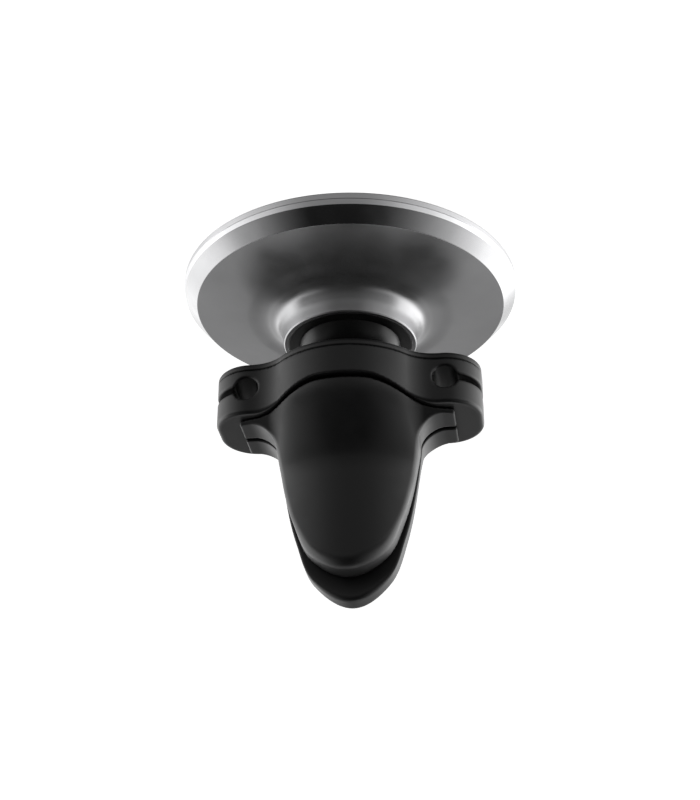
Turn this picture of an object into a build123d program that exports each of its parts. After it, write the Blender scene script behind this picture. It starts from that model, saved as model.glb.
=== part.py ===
"""Magnetic car phone mount that clips on a dashboard air vent.

A round magnetic head swivels on a ball. The ball stands on a lens-shaped collar, and two
sprung jaws reach out of the collar's back to grip a blade of the vent. A cable hole with a
slot runs through each ear of the collar.

Frame: +Y runs from the phone's contact face, through the head and the ball, to the tips of the
jaws. +Z is up in the car and +X is to the right as the driver sees it. The origin is the centre
of the contact face. Units are millimetres.
"""

import os
from math import cos, pi

from build123d import *

# ---------------------------------------------------------------- head
RIM_R = 21.0  # outer radius of the head
PAD_R = 19.6
PAD_T = 0.85
PAD_PROUD = 0.3  # how far the pad stands in front of the bezel
PAD_GROOVES = (12.6, 15.2, 17.8)
GROOVE_WIDTH, GROOVE_DEPTH = 0.5, 0.3
ADHESIVE_R, ADHESIVE_T = 18.8, 0.15
BEZEL_T = 0.85
BEZEL_BACK = PAD_PROUD + BEZEL_T

BEVEL_START_R, BEVEL_START_Y = 20.84, 1.86  # the bright bevel round the back of the rim
BEVEL_END_R, BEVEL_END_Y = 19.32, 3.56
HUB_R, HUB_TOP = 8.3, 8.65  # outside of the hub's lip
HUB_EDGE = 0.15
THREAD_R = 7.75  # bore that the retaining ring screws into
SEAT_BORE_R, SEAT_BORE_TOP = 7.95, 6.05

PLATE_R, PLATE_FRONT, PLATE_BACK = 19.4, PAD_T + ADHESIVE_T, 1.6
SPRING_LAND_INNER, SPRING_LAND_OUTER, SPRING_LAND_H = 6.5, 7.8, 0.7
CAVITY_R, CAVITY_WALL_Y = 17.0, 2.95  # the cavity's roof at its outer wall
CAVITY_HUB_R, CAVITY_HUB_Y = 10.5, 4.0  # and next to the hub

MAGNET_COUNT = 6
MAGNET_R, MAGNET_T = 3.0, 1.0
MAGNET_RING_R = 12.4
MAGNET_FRONT = PLATE_BACK + 0.05
TRAY_INNER_R, TRAY_OUTER_R, TRAY_T = 8.3, 16.5, 0.95
YOKE_FRONT = MAGNET_FRONT + MAGNET_T
YOKE_INNER_R, YOKE_OUTER_R, YOKE_T = 8.4, 15.8, 0.4

HEAD_SCREW_COUNT = 3
HEAD_SCREW_RING_R = 18.1
HEAD_SCREW_R, HEAD_SCREW_HEAD_R, HEAD_SCREW_HEAD_T = 0.75, 1.3, 0.25
HEAD_SCREW_END = 3.0
THREAD_CLEARANCE = 0.02

# ---------------------------------------------------------------- ball joint
BALL_R = 6.8
BALL_Y = 6.04  # centre of the ball
BALL_FLAT = 2.0  # the ball is cut flat this far in front of its centre
LINER_INNER_R, LINER_OUTER_R = 6.83, 7.2
LINER_LOW, LINER_HIGH = -2.2, -0.6  # the liner's edges, measured from the ball's centre
SEAT_R = 7.25  # spherical seat for the liner
SEAT_FRONT, SEAT_BACK = 3.05, 6.0
LIP_R = 6.85  # spherical lip of the retaining ring, over the ball
LIP_START = 7.6
NECK_R = 4.4

# ---------------------------------------------------------------- collar
COLLAR_FRONT, COVER_T = 13.6, 0.9
COVER_BACK = COLLAR_FRONT + COVER_T
COVER_EDGE = 0.45
COLLAR_BACK = 20.4
BARREL_R = 10.5  # middle of the lens-shaped collar
EAR_END, EAR_TOP, EAR_R = 16.2, 5.7, 4.5  # the ears' rounded ends
EAR_BLEND = 5.0  # concave radius between the barrel and an ear
WALL = 1.3
ARCH_TOP = 18.1  # the collar's back is cut in an arch for the jaws' roots
ARCH_TOP_HALF, ARCH_FOOT_HALF = 2.5, 11.0
CAVITY_HALF = 7.6
WEB_FRONT, WEB_BACK = 15.2, 15.8  # wall between the stud's foot and the jaws

CABLE_HOLE_X, CABLE_HOLE_Y = 12.0, 16.9
CABLE_HOLE_R = 1.5
CABLE_SLOT = 0.8

COVER_SCREW_X = 9.0
COVER_SCREW_R, COVER_SCREW_HEAD_R, COVER_SCREW_HEAD_T = 0.7, 1.3, 0.48
COVER_SCREW_END = 18.2

STUD_SCREW_R, STUD_SCREW_HEAD_R, STUD_SCREW_HEAD_T = 1.2, 1.9, 0.7
STUD_SCREW_END = 9.6

# ---------------------------------------------------------------- jaws
JAW_TIPS = {"upper": 39.9, "lower": 42.4}  # the lower jaw is the longer one
JAW_GAP = 0.35  # half of the gap between the closed jaws
ARCH_GAP = 0.36  # room in which a jaw's root moves as it opens
SHOULDER_FRONT, SHOULDER_BACK = 20.5, 21.05
SHOULDER_HALF, SHOULDER_FLAT = 12.9, 1.2
TONGUE_START = 23.8  # where a jaw's sides leave the shoulders' fillets
TONGUE_HALF = 8.6
JAW_HALF = 13.4  # half width of a jaw's blank, which its plan then trims
ROOT_CROWN, ROOT_DROP, ROOT_EDGE = 9.9, 4.2, 4.3  # the blank's section at the root
TONGUE_CROWN, TONGUE_DROP, TONGUE_EDGE = 5.1, 3.4, 0.7  # and along the tongue
CROWN_FALL, CROWN_FALL_Y = 0.9, 40.0  # how much lower the crown is out at that Y
ROOT_Y, FLARE_LENGTH = 18.5, 9.0
STATION_COUNT, STATION_PITCH = 18, 1.5
LIP_HALF, LIP_LOW, LIP_BACK = 5.2, 8.2, 19.15  # room under the lip at a jaw's root
CORE_INSET = 2.2
CORE_HALF = CAVITY_HALF - 0.6
CORE_ROOT_Y, CORE_ROOT_LOW = 17.2, 1.3
CORE_LOW, CORE_HIGH = 2.0, 3.0
GRIP_INSET = 1.9
GRIP_START, GRIP_T = 22.0, 0.7
RIB_PITCH, RIB_GAP, RIB_DEPTH = 1.4, 0.7, 0.25

PIN_Y, PIN_Z = 17.2, 7.0
PIN_R, PIN_HALF = 0.8, 4.9
PIN_CLEARANCE = 0.05
KNUCKLE_R, KNUCKLE_HALF = 1.3, 3.2
LUG_INNER_X, LUG_OUTER_X = 3.4, 5.0
LUG_LOW, LUG_BACK = 5.6, 18.2
JAW_ROOM_BACK = 21.0  # the core stays below the lugs this far back
SPRING_HALF = 1.5
SPRING_COIL_R, SPRING_WIRE_R = 1.03, 0.18
SPRING_TURNS = 3.25
SPRING_LEG = 1.4

BIG = 60.0  # larger than the whole mount, for cutting tools


def across(y):
    """The plane across the mount's axis at y, with local x = X and local y = Z."""
    return Plane.XZ.offset(-y)


def lens(inset=0.0):
    """The collar's outline: a barrel with a smaller rounded ear on each side."""
    with BuildSketch(Plane.XY) as outline:
        Circle(BARREL_R - inset)
        RectangleRounded(2 * (EAR_END - inset), 2 * (EAR_TOP - inset), EAR_R - inset)
        corners = [v for v in outline.vertices() if abs(v.X) < BARREL_R]
        fillet(corners, EAR_BLEND + inset)
    return outline.sketch


def tongue_points(tip, inset=0.0):
    """Half of a jaw's plan from the shoulder's fillet to its tip, moved in by inset."""
    length = tip - TONGUE_START
    shape = ((1.0, 0.0), (0.945, 0.2), (0.755, 0.6), (0.53, 0.855), (0.0, 1.0))
    return [
        (max(TONGUE_HALF * wide - inset, 0.0), TONGUE_START + (length - inset) * along)
        for wide, along in shape
    ]


def flare(y):
    """How much of the root's extra height a jaw still has at y, from 1 down to 0."""
    along = min((y - ROOT_Y) / FLARE_LENGTH, 1.0)
    return 0.5 + 0.5 * cos(pi * along)


os.makedirs("parts", exist_ok=True)

# ================================================================ head
# The dished metal back of the head, from the bevelled rim up to the hub.
with BuildPart() as head_shell:
    with BuildSketch(Plane.XY):
        with BuildLine():
            Polyline(
                (PLATE_R + 0.1, BEZEL_BACK),
                (RIM_R, BEZEL_BACK),
                (BEVEL_START_R, BEVEL_START_Y),
                (BEVEL_END_R, BEVEL_END_Y),
            )
            Spline(
                (BEVEL_END_R, BEVEL_END_Y),
                (13.2, 4.6),
                (10.2, 5.13),
                (9.2, 5.68),
                (8.6, 6.8),
                (HUB_R, HUB_TOP - HUB_EDGE),
                tangents=((-1.0, 0.16), (-0.12, 1.0)),
            )
            Polyline(
                (HUB_R, HUB_TOP - HUB_EDGE),
                (HUB_R - HUB_EDGE, HUB_TOP),
                (THREAD_R, HUB_TOP),
                (THREAD_R, SEAT_BORE_TOP),
                (SEAT_BORE_R, SEAT_BORE_TOP),
                (SEAT_BORE_R, CAVITY_HUB_Y),
                (CAVITY_HUB_R, CAVITY_HUB_Y),
                (CAVITY_R, CAVITY_WALL_Y),
                (CAVITY_R, PLATE_BACK),
                (PLATE_R + 0.1, PLATE_BACK),
                (PLATE_R + 0.1, BEZEL_BACK),
            )
        make_face()
    revolve(axis=Axis.Y)
    with BuildSketch(across(PLATE_BACK)):
        with PolarLocations(HEAD_SCREW_RING_R, HEAD_SCREW_COUNT, start_angle=90):
            Circle(HEAD_SCREW_R)
    extrude(amount=-(HEAD_SCREW_END - PLATE_BACK), mode=Mode.SUBTRACT)
head_shell.part.label = "head_shell"
export_step(head_shell.part, "parts/head_shell.step")

# The thin ring that frames the pad at the front of the rim.
with BuildPart() as front_bezel:
    with BuildSketch(across(PAD_PROUD)):
        Circle(RIM_R)
        Circle(PAD_R + 0.1, mode=Mode.SUBTRACT)
    extrude(amount=-BEZEL_T)
    front_edges = front_bezel.edges().group_by(Axis.Y)[0]
    chamfer(front_edges.sort_by(SortBy.RADIUS)[-1], 0.15)
front_bezel.part.label = "front_bezel"
export_step(front_bezel.part, "parts/front_bezel.step")

# The non-slip pad that the phone touches, with concentric grooves.
with BuildPart() as contact_pad:
    with BuildSketch(across(0)):
        Circle(PAD_R)
    extrude(amount=-PAD_T)
    fillet(contact_pad.edges().group_by(Axis.Y)[0], 0.25)
    for groove_r in PAD_GROOVES:
        with BuildSketch(across(0)):
            Circle(groove_r + GROOVE_WIDTH / 2)
            Circle(groove_r - GROOVE_WIDTH / 2, mode=Mode.SUBTRACT)
        extrude(amount=-GROOVE_DEPTH, mode=Mode.SUBTRACT)
contact_pad.part.label = "contact_pad"
export_step(contact_pad.part, "parts/contact_pad.step")

# The film of adhesive between the pad and the front plate.
with BuildPart() as pad_adhesive:
    with BuildSketch(across(PAD_T)):
        Circle(ADHESIVE_R)
    extrude(amount=-ADHESIVE_T)
pad_adhesive.part.label = "pad_adhesive"
export_step(pad_adhesive.part, "parts/pad_adhesive.step")

# The plate under the pad. Its raised land backs the disc spring of the ball joint.
with BuildPart() as front_plate:
    with BuildSketch(across(PLATE_FRONT)):
        Circle(PLATE_R)
    extrude(amount=-(PLATE_BACK - PLATE_FRONT))
    with BuildSketch(across(PLATE_BACK)):
        Circle(SPRING_LAND_OUTER)
        Circle(SPRING_LAND_INNER, mode=Mode.SUBTRACT)
    extrude(amount=-SPRING_LAND_H)
    with BuildSketch(across(PLATE_FRONT)):
        with PolarLocations(HEAD_SCREW_RING_R, HEAD_SCREW_COUNT, start_angle=90):
            Circle(HEAD_SCREW_HEAD_R + 0.05)
    extrude(amount=-(HEAD_SCREW_HEAD_T + 0.05), mode=Mode.SUBTRACT)
    with BuildSketch(across(PLATE_FRONT)):
        with PolarLocations(HEAD_SCREW_RING_R, HEAD_SCREW_COUNT, start_angle=90):
            Circle(HEAD_SCREW_R + 0.1)
    extrude(amount=-(PLATE_BACK - PLATE_FRONT), mode=Mode.SUBTRACT)
front_plate.part.label = "front_plate"
export_step(front_plate.part, "parts/front_plate.step")

# The flat-head screws that hold the front plate, one solid each.
with BuildPart() as head_screws:
    with BuildSketch(across(PLATE_FRONT + 0.05)):
        with PolarLocations(HEAD_SCREW_RING_R, HEAD_SCREW_COUNT, start_angle=90):
            Circle(HEAD_SCREW_HEAD_R)
            Rectangle(1.6, 0.3, mode=Mode.SUBTRACT)
    extrude(amount=-0.12)
    with BuildSketch(across(PLATE_FRONT + 0.17)):
        with PolarLocations(HEAD_SCREW_RING_R, HEAD_SCREW_COUNT, start_angle=90):
            Circle(HEAD_SCREW_HEAD_R)
    extrude(amount=-(HEAD_SCREW_HEAD_T - 0.12))
    with BuildSketch(across(PLATE_FRONT + 0.05 + HEAD_SCREW_HEAD_T)):
        with PolarLocations(HEAD_SCREW_RING_R, HEAD_SCREW_COUNT, start_angle=90):
            Circle(HEAD_SCREW_R - THREAD_CLEARANCE)
    extrude(amount=-(HEAD_SCREW_END - 0.15 - PLATE_FRONT - HEAD_SCREW_HEAD_T))
head_screws.part.label = "head_screws"
export_step(head_screws.part, "parts/head_screws.step")

# The ring that spaces the magnets.
with BuildPart() as magnet_tray:
    with BuildSketch(across(MAGNET_FRONT)):
        Circle(TRAY_OUTER_R)
        Circle(TRAY_INNER_R, mode=Mode.SUBTRACT)
        with PolarLocations(MAGNET_RING_R, MAGNET_COUNT):
            Circle(MAGNET_R + 0.05, mode=Mode.SUBTRACT)
    extrude(amount=-TRAY_T)
magnet_tray.part.label = "magnet_tray"
export_step(magnet_tray.part, "parts/magnet_tray.step")

# The disc magnets, each in its own hole of the tray.
for number, place in enumerate(PolarLocations(MAGNET_RING_R, MAGNET_COUNT), start=1):
    with BuildPart() as magnet:
        with BuildSketch(across(MAGNET_FRONT)):
            with Locations(place.position):
                Circle(MAGNET_R)
        extrude(amount=-MAGNET_T)
        chamfer(magnet.edges().filter_by(GeomType.CIRCLE), 0.12)
    magnet.part.label = f"magnet_{number}"
    export_step(magnet.part, f"parts/magnet_{number}.step")

# The steel ring behind the magnets, which turns their field towards the phone.
with BuildPart() as yoke_ring:
    with BuildSketch(across(YOKE_FRONT)):
        Circle(YOKE_OUTER_R)
        Circle(YOKE_INNER_R, mode=Mode.SUBTRACT)
    extrude(amount=-YOKE_T)
yoke_ring.part.label = "yoke_ring"
export_step(yoke_ring.part, "parts/yoke_ring.step")

# ================================================================ ball joint
# The ball and its neck. The foot of the neck sits in the collar and takes the stud screw.
with BuildPart() as ball_stud:
    with Locations((0, BALL_Y, 0)):
        Sphere(BALL_R)
    with BuildSketch(across(BALL_Y - BALL_FLAT)):
        Circle(BIG)
    extrude(amount=BALL_R, mode=Mode.SUBTRACT)
    with BuildSketch(across(BALL_Y)):
        Circle(NECK_R)
    extrude(amount=-(WEB_FRONT - BALL_Y))
    with BuildSketch(across(STUD_SCREW_END - 0.6)):
        Circle(STUD_SCREW_R + THREAD_CLEARANCE)
    extrude(amount=-(WEB_FRONT - STUD_SCREW_END + 0.6), mode=Mode.SUBTRACT)
ball_stud.part.label = "ball_stud"
export_step(ball_stud.part, "parts/ball_stud.step")

# The thin low-friction liner between the ball and the seat.
with BuildPart() as ball_liner:
    with Locations((0, BALL_Y, 0)):
        Sphere(LINER_OUTER_R)
        Sphere(LINER_INNER_R, mode=Mode.SUBTRACT)
    with BuildSketch(across(BALL_Y + LINER_LOW)):
        Circle(BIG)
    extrude(amount=-(LINER_HIGH - LINER_LOW), mode=Mode.INTERSECT)
ball_liner.part.label = "ball_liner"
export_step(ball_liner.part, "parts/ball_liner.step")

# The hard ring, bored to a sphere, that turns in the head's bore.
with BuildPart() as socket_seat:
    with BuildSketch(across(SEAT_FRONT)):
        Circle(SEAT_BORE_R - PIN_CLEARANCE)
    extrude(amount=-(SEAT_BACK - SEAT_FRONT))
    with Locations((0, BALL_Y, 0)):
        Sphere(SEAT_R, mode=Mode.SUBTRACT)
socket_seat.part.label = "socket_seat"
export_step(socket_seat.part, "parts/socket_seat.step")

# The threaded ring that closes the hub over the ball.
with BuildPart() as retaining_ring:
    with BuildSketch(across(SEAT_BORE_TOP)):
        Circle(THREAD_R - THREAD_CLEARANCE)
        Circle(SEAT_R, mode=Mode.SUBTRACT)
    extrude(amount=-(LIP_START - SEAT_BORE_TOP))
    with BuildSketch(across(LIP_START)):
        Circle(THREAD_R - THREAD_CLEARANCE)
    extrude(amount=-(HUB_TOP - LIP_START))
    with Locations((0, BALL_Y, 0)):
        Sphere(LIP_R, mode=Mode.SUBTRACT)
    back_edges = retaining_ring.edges().group_by(Axis.Y)[-1]
    chamfer(back_edges.sort_by(SortBy.RADIUS)[-1], 0.12)
retaining_ring.part.label = "retaining_ring"
export_step(retaining_ring.part, "parts/retaining_ring.step")

# The conical spring that presses the seat towards the ball.
with BuildPart() as disc_spring:
    with BuildSketch(Plane.XY):
        with BuildLine():
            Polyline((6.75, 2.75), (7.7, 2.35), (7.7, 2.6), (6.75, 3.0), close=True)
        make_face()
    revolve(axis=Axis.Y)
disc_spring.part.label = "disc_spring"
export_step(disc_spring.part, "parts/disc_spring.step")

# ================================================================ collar
cover_screw_places = Locations((COVER_SCREW_X, 0), (-COVER_SCREW_X, 0))

# The front cover of the collar, with the hole that the ball's neck passes through.
with BuildPart() as collar_cover:
    with BuildSketch(across(COLLAR_FRONT)):
        add(lens())
    extrude(amount=-COVER_T)
    fillet(collar_cover.edges().group_by(Axis.Y)[0], COVER_EDGE)
    with BuildSketch(across(COLLAR_FRONT)):
        Circle(NECK_R + 0.1)
        with cover_screw_places:
            Circle(COVER_SCREW_R + 0.1)
    extrude(amount=-COVER_T, mode=Mode.SUBTRACT)
    with BuildSketch(across(COLLAR_FRONT)):
        with cover_screw_places:
            Circle(COVER_SCREW_HEAD_R + 0.1)
    extrude(amount=-(COVER_SCREW_HEAD_T + 0.02), mode=Mode.SUBTRACT)
collar_cover.part.label = "collar_cover"
export_step(collar_cover.part, "parts/collar_cover.step")

# The lens-shaped body that holds the stud and both jaws, with a cable hole in each ear.
with BuildPart() as clip_collar:
    with BuildSketch(across(COVER_BACK)):
        add(lens())
    extrude(amount=-(COLLAR_BACK - COVER_BACK))
    # the arch in the back, over the jaws' roots
    with BuildSketch(Plane.XY.offset(-BIG / 2)):
        with BuildLine() as arch:
            Line((0, ARCH_TOP), (ARCH_TOP_HALF, ARCH_TOP))
            Spline(
                (ARCH_TOP_HALF, ARCH_TOP),
                (ARCH_FOOT_HALF, COLLAR_BACK),
                tangents=((1.0, 0.0), (1.0, 0.0)),
            )
            Line((ARCH_FOOT_HALF, COLLAR_BACK), (ARCH_FOOT_HALF, COLLAR_BACK + 1))
            Line((ARCH_FOOT_HALF, COLLAR_BACK + 1), (0, COLLAR_BACK + 1))
            mirror(arch.line, about=Plane.YZ)
        make_face()
    extrude(amount=BIG, mode=Mode.SUBTRACT)
    # room for the stud's foot in front and for the jaws' roots behind
    with BuildSketch(across(COVER_BACK)):
        Circle(NECK_R + 0.05)
    extrude(amount=-(WEB_FRONT - COVER_BACK), mode=Mode.SUBTRACT)
    with BuildSketch(across(WEB_BACK)):
        add(lens(WALL))
        Rectangle(2 * CAVITY_HALF, BIG, mode=Mode.INTERSECT)
    extrude(amount=-(COLLAR_BACK - WEB_BACK), mode=Mode.SUBTRACT)
    # lugs for the two jaw pins, out to the cavity's wall
    with BuildSketch(across(WEB_BACK)):
        with GridLocations(LUG_INNER_X + LUG_OUTER_X, LUG_LOW + BARREL_R, 2, 2):
            Rectangle(LUG_OUTER_X - LUG_INNER_X, BARREL_R - LUG_LOW)
        add(lens(WALL / 2), mode=Mode.INTERSECT)
    extrude(amount=-(LUG_BACK - WEB_BACK))
    with BuildSketch(Plane.YZ.offset(-LUG_OUTER_X - 0.1)):
        with Locations((PIN_Y, PIN_Z), (PIN_Y, -PIN_Z)):
            Circle(PIN_R + THREAD_CLEARANCE)
    extrude(amount=2 * (LUG_OUTER_X + 0.1), mode=Mode.SUBTRACT)
    # the stud's screw and the cover's screws
    with BuildSketch(across(WEB_FRONT)):
        Circle(STUD_SCREW_R + 0.15)
    extrude(amount=-(WEB_BACK - WEB_FRONT), mode=Mode.SUBTRACT)
    with BuildSketch(across(COVER_BACK)):
        with cover_screw_places:
            Circle(COVER_SCREW_R + THREAD_CLEARANCE)
    extrude(amount=-(COVER_SCREW_END - COVER_BACK), mode=Mode.SUBTRACT)
    # the cable holes, each open to the outside through a slot
    with BuildSketch(Plane.XY.offset(-BIG / 2)):
        with Locations((CABLE_HOLE_X, CABLE_HOLE_Y), (-CABLE_HOLE_X, CABLE_HOLE_Y)):
            Circle(CABLE_HOLE_R)
        with Locations(
            (CABLE_HOLE_X + EAR_R, CABLE_HOLE_Y),
            (-CABLE_HOLE_X - EAR_R, CABLE_HOLE_Y),
        ):
            Rectangle(2 * EAR_R, CABLE_SLOT)
    extrude(amount=BIG, mode=Mode.SUBTRACT)
clip_collar.part.label = "clip_collar"
export_step(clip_collar.part, "parts/clip_collar.step")

# The two screws that hold the cover, one solid each.
with BuildPart() as cover_screws:
    with BuildSketch(across(COLLAR_FRONT + 0.02)):
        with cover_screw_places:
            Circle(COVER_SCREW_HEAD_R)
            Rectangle(1.7, 0.35, mode=Mode.SUBTRACT)
            Rectangle(0.35, 1.7, mode=Mode.SUBTRACT)
    extrude(amount=-0.25)
    with BuildSketch(across(COLLAR_FRONT + 0.27)):
        with cover_screw_places:
            Circle(COVER_SCREW_HEAD_R)
    extrude(amount=-(COVER_SCREW_HEAD_T - 0.25))
    with BuildSketch(across(COLLAR_FRONT + 0.02 + COVER_SCREW_HEAD_T)):
        with cover_screw_places:
            Circle(COVER_SCREW_R)
    extrude(amount=-(COVER_SCREW_END - 0.2 - COLLAR_FRONT - COVER_SCREW_HEAD_T))
cover_screws.part.label = "cover_screws"
export_step(cover_screws.part, "parts/cover_screws.step")

# The screw that draws the stud's foot against the collar's web.
with BuildPart() as stud_screw:
    with BuildSketch(across(STUD_SCREW_END)):
        Circle(STUD_SCREW_R)
    extrude(amount=-(WEB_BACK - STUD_SCREW_END))
    with BuildSketch(across(WEB_BACK)):
        Circle(STUD_SCREW_HEAD_R)
    extrude(amount=-STUD_SCREW_HEAD_T)
    with BuildSketch(across(WEB_BACK + STUD_SCREW_HEAD_T)):
        RegularPolygon(0.8, 6)
    extrude(amount=0.4, mode=Mode.SUBTRACT)
stud_screw.part.label = "stud_screw"
export_step(stud_screw.part, "parts/stud_screw.step")

# ================================================================ jaws
# Each jaw is made on the upper side, and the lower one is then mirrored down.
for side, tip in JAW_TIPS.items():
    # The stiff insert that the jaw is moulded on, with the knuckle that turns on the pin.
    with BuildPart() as jaw_core:
        with BuildSketch(Plane.YZ.offset(-CORE_HALF)):
            with BuildLine():
                Polyline(
                    (CORE_ROOT_Y, PIN_Z),
                    (CORE_ROOT_Y, CORE_ROOT_LOW),
                    (21.0, CORE_ROOT_LOW),
                    (22.2, CORE_LOW),
                    (tip - 4.0, CORE_LOW),
                    (tip - 4.0, CORE_HIGH - 0.3),
                    (24.0, CORE_HIGH),
                    (20.6, 5.2),
                    (19.6, PIN_Z),
                    close=True,
                )
            make_face()
            with Locations((PIN_Y, PIN_Z)):
                Circle(KNUCKLE_R)
        extrude(amount=2 * CORE_HALF)
        with BuildSketch(Plane.XY):
            with BuildLine() as core_plan:
                core_side = Spline(
                    *tongue_points(tip, CORE_INSET), tangents=((-0.06, 1.0), (-1.0, 0.0))
                )
                Polyline(core_side @ 0, (CORE_HALF, 21.5), (CORE_HALF, 15.0), (0, 15.0))
                mirror(core_plan.line, about=Plane.YZ)
            make_face()
        extrude(amount=BIG, mode=Mode.INTERSECT)
        # room for the lugs outside the knuckle, and for the spring in its middle
        for left, right, room_back in (
            (-BIG, -KNUCKLE_HALF, JAW_ROOM_BACK),
            (-SPRING_HALF, SPRING_HALF, LUG_BACK + 0.5),
            (KNUCKLE_HALF, BIG, JAW_ROOM_BACK),
        ):
            with BuildSketch(Plane.YZ.offset(left)):
                with Locations((room_back, LUG_LOW - 0.2)):
                    Rectangle(BIG, BIG, align=(Align.MAX, Align.MIN))
            extrude(amount=right - left, mode=Mode.SUBTRACT)
        with BuildSketch(Plane.YZ.offset(-KNUCKLE_HALF)):
            with Locations((PIN_Y, PIN_Z)):
                Circle(PIN_R + PIN_CLEARANCE)
        extrude(amount=2 * KNUCKLE_HALF, mode=Mode.SUBTRACT)

    # The ribbed pad on the jaw's inner face.
    with BuildPart() as grip_pad:
        with BuildSketch(Plane.XY.offset(JAW_GAP)):
            with BuildLine() as pad_plan:
                pad_side = Spline(
                    *tongue_points(JAW_TIPS["upper"], GRIP_INSET),
                    tangents=((-0.06, 1.0), (-1.0, 0.0)),
                )
                Polyline(pad_side @ 0, ((pad_side @ 0).X, GRIP_START), (0, GRIP_START))
                mirror(pad_plan.line, about=Plane.YZ)
            make_face()
        extrude(amount=GRIP_T)
        rib_count = int((JAW_TIPS["upper"] - GRIP_START - 4.0) / RIB_PITCH)
        with BuildSketch(Plane.YZ.offset(-BIG / 2)):
            for rib in range(rib_count):
                with Locations((GRIP_START + 1.5 + rib * RIB_PITCH, JAW_GAP)):
                    Rectangle(RIB_GAP, 2 * RIB_DEPTH)
        extrude(amount=BIG, mode=Mode.SUBTRACT)

    # The jaw: an arched root and shoulders that narrow to a crowned tongue.
    with BuildPart() as jaw:
        for station in range(STATION_COUNT):
            y = ROOT_Y + station * STATION_PITCH
            rise = flare(y)
            crown = TONGUE_CROWN + rise * (ROOT_CROWN - TONGUE_CROWN)
            crown -= CROWN_FALL * ((y - ROOT_Y) / (CROWN_FALL_Y - ROOT_Y)) ** 2
            side_z = crown - TONGUE_DROP - rise * (ROOT_DROP - TONGUE_DROP)
            edge = TONGUE_EDGE + rise * (ROOT_EDGE - TONGUE_EDGE)
            with BuildSketch(across(y)):
                with BuildLine():
                    ThreePointArc((-TONGUE_HALF, side_z), (0, crown), (TONGUE_HALF, side_z))
                    Polyline(
                        (TONGUE_HALF, side_z),
                        (JAW_HALF, edge),
                        (JAW_HALF, JAW_GAP),
                        (-JAW_HALF, JAW_GAP),
                        (-JAW_HALF, edge),
                        (-TONGUE_HALF, side_z),
                    )
                make_face()
        loft()
        # the plan
        with BuildSketch(Plane.XY):
            with BuildLine() as jaw_plan:
                Line((0, ARCH_TOP + ARCH_GAP), (ARCH_TOP_HALF, ARCH_TOP + ARCH_GAP))
                Spline(
                    (ARCH_TOP_HALF, ARCH_TOP + ARCH_GAP),
                    (ARCH_FOOT_HALF, SHOULDER_FRONT),
                    tangents=((1.0, 0.0), (1.0, 0.0)),
                )
                Polyline(
                    (ARCH_FOOT_HALF, SHOULDER_FRONT),
                    (SHOULDER_HALF, SHOULDER_FRONT),
                    (SHOULDER_HALF, SHOULDER_BACK),
                    (SHOULDER_HALF - SHOULDER_FLAT, SHOULDER_BACK),
                )
                Spline(
                    (SHOULDER_HALF - SHOULDER_FLAT, SHOULDER_BACK),
                    (TONGUE_HALF, TONGUE_START),
                    tangents=((-1.0, 0.0), (-0.06, 1.0)),
                )
                Spline(*tongue_points(tip), tangents=((-0.06, 1.0), (-1.0, 0.0)))
                mirror(jaw_plan.line, about=Plane.YZ)
            make_face()
        extrude(amount=BIG, mode=Mode.INTERSECT)
        # room for the lugs and the spring under the root's front lip
        with BuildSketch(Plane.YZ.offset(-LIP_HALF)):
            with Locations((LIP_BACK, LIP_LOW)):
                Rectangle(BIG, BIG, align=(Align.MAX, Align.MAX))
        extrude(amount=2 * LIP_HALF, mode=Mode.SUBTRACT)
        add(jaw_core.part, mode=Mode.SUBTRACT)
        add(grip_pad.part, mode=Mode.SUBTRACT)

    # The steel pin that the jaw turns on.
    with BuildPart() as jaw_pin:
        with BuildSketch(Plane.YZ.offset(-PIN_HALF)):
            with Locations((PIN_Y, PIN_Z)):
                Circle(PIN_R)
        extrude(amount=2 * PIN_HALF)
        chamfer(jaw_pin.edges().filter_by(GeomType.CIRCLE), 0.15)

    # The torsion spring that closes the jaw: one leg on the web, the other on the core.
    coil_length = 2 * (SPRING_HALF - 0.35)
    coil_start = Plane((-coil_length / 2, PIN_Y, PIN_Z), x_dir=(0, -1, 0), z_dir=(1, 0, 0))
    coil = coil_start.location * Helix(
        coil_length / SPRING_TURNS, coil_length, SPRING_COIL_R, mode=Mode.PRIVATE
    )
    with BuildPart() as jaw_spring:
        with BuildLine() as spring_path:
            Line(coil @ 0 - (coil % 0) * SPRING_LEG, coil @ 0)
            add(coil)
            Line(coil @ 1, coil @ 1 + (coil % 1) * SPRING_LEG)
        with BuildSketch(spring_path.wire() ^ 0):
            Circle(SPRING_WIRE_R)
        sweep(path=spring_path.wire())

    for piece, name in (
        (jaw_core, "jaw_core"),
        (grip_pad, "grip_pad"),
        (jaw, "jaw"),
        (jaw_pin, "jaw_pin"),
        (jaw_spring, "jaw_spring"),
    ):
        solid = piece.part
        if side == "lower":
            solid = mirror(solid, about=Plane.XY)
        solid.label = f"{side}_{name}"
        export_step(solid, f"parts/{side}_{name}.step")
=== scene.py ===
"""Looks for the magnetic car phone mount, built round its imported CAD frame.

The visible pieces are modelled again here as fine meshes: turned pieces from their profiles, and
the collar and the jaws from smooth solids with rounded edges. Lengths inside the modelling
functions are millimetres in the CAD frame, and each mesh is written in metres.
"""

import math

import bpy
import numpy as np
from mathutils import Matrix, Vector


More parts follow.
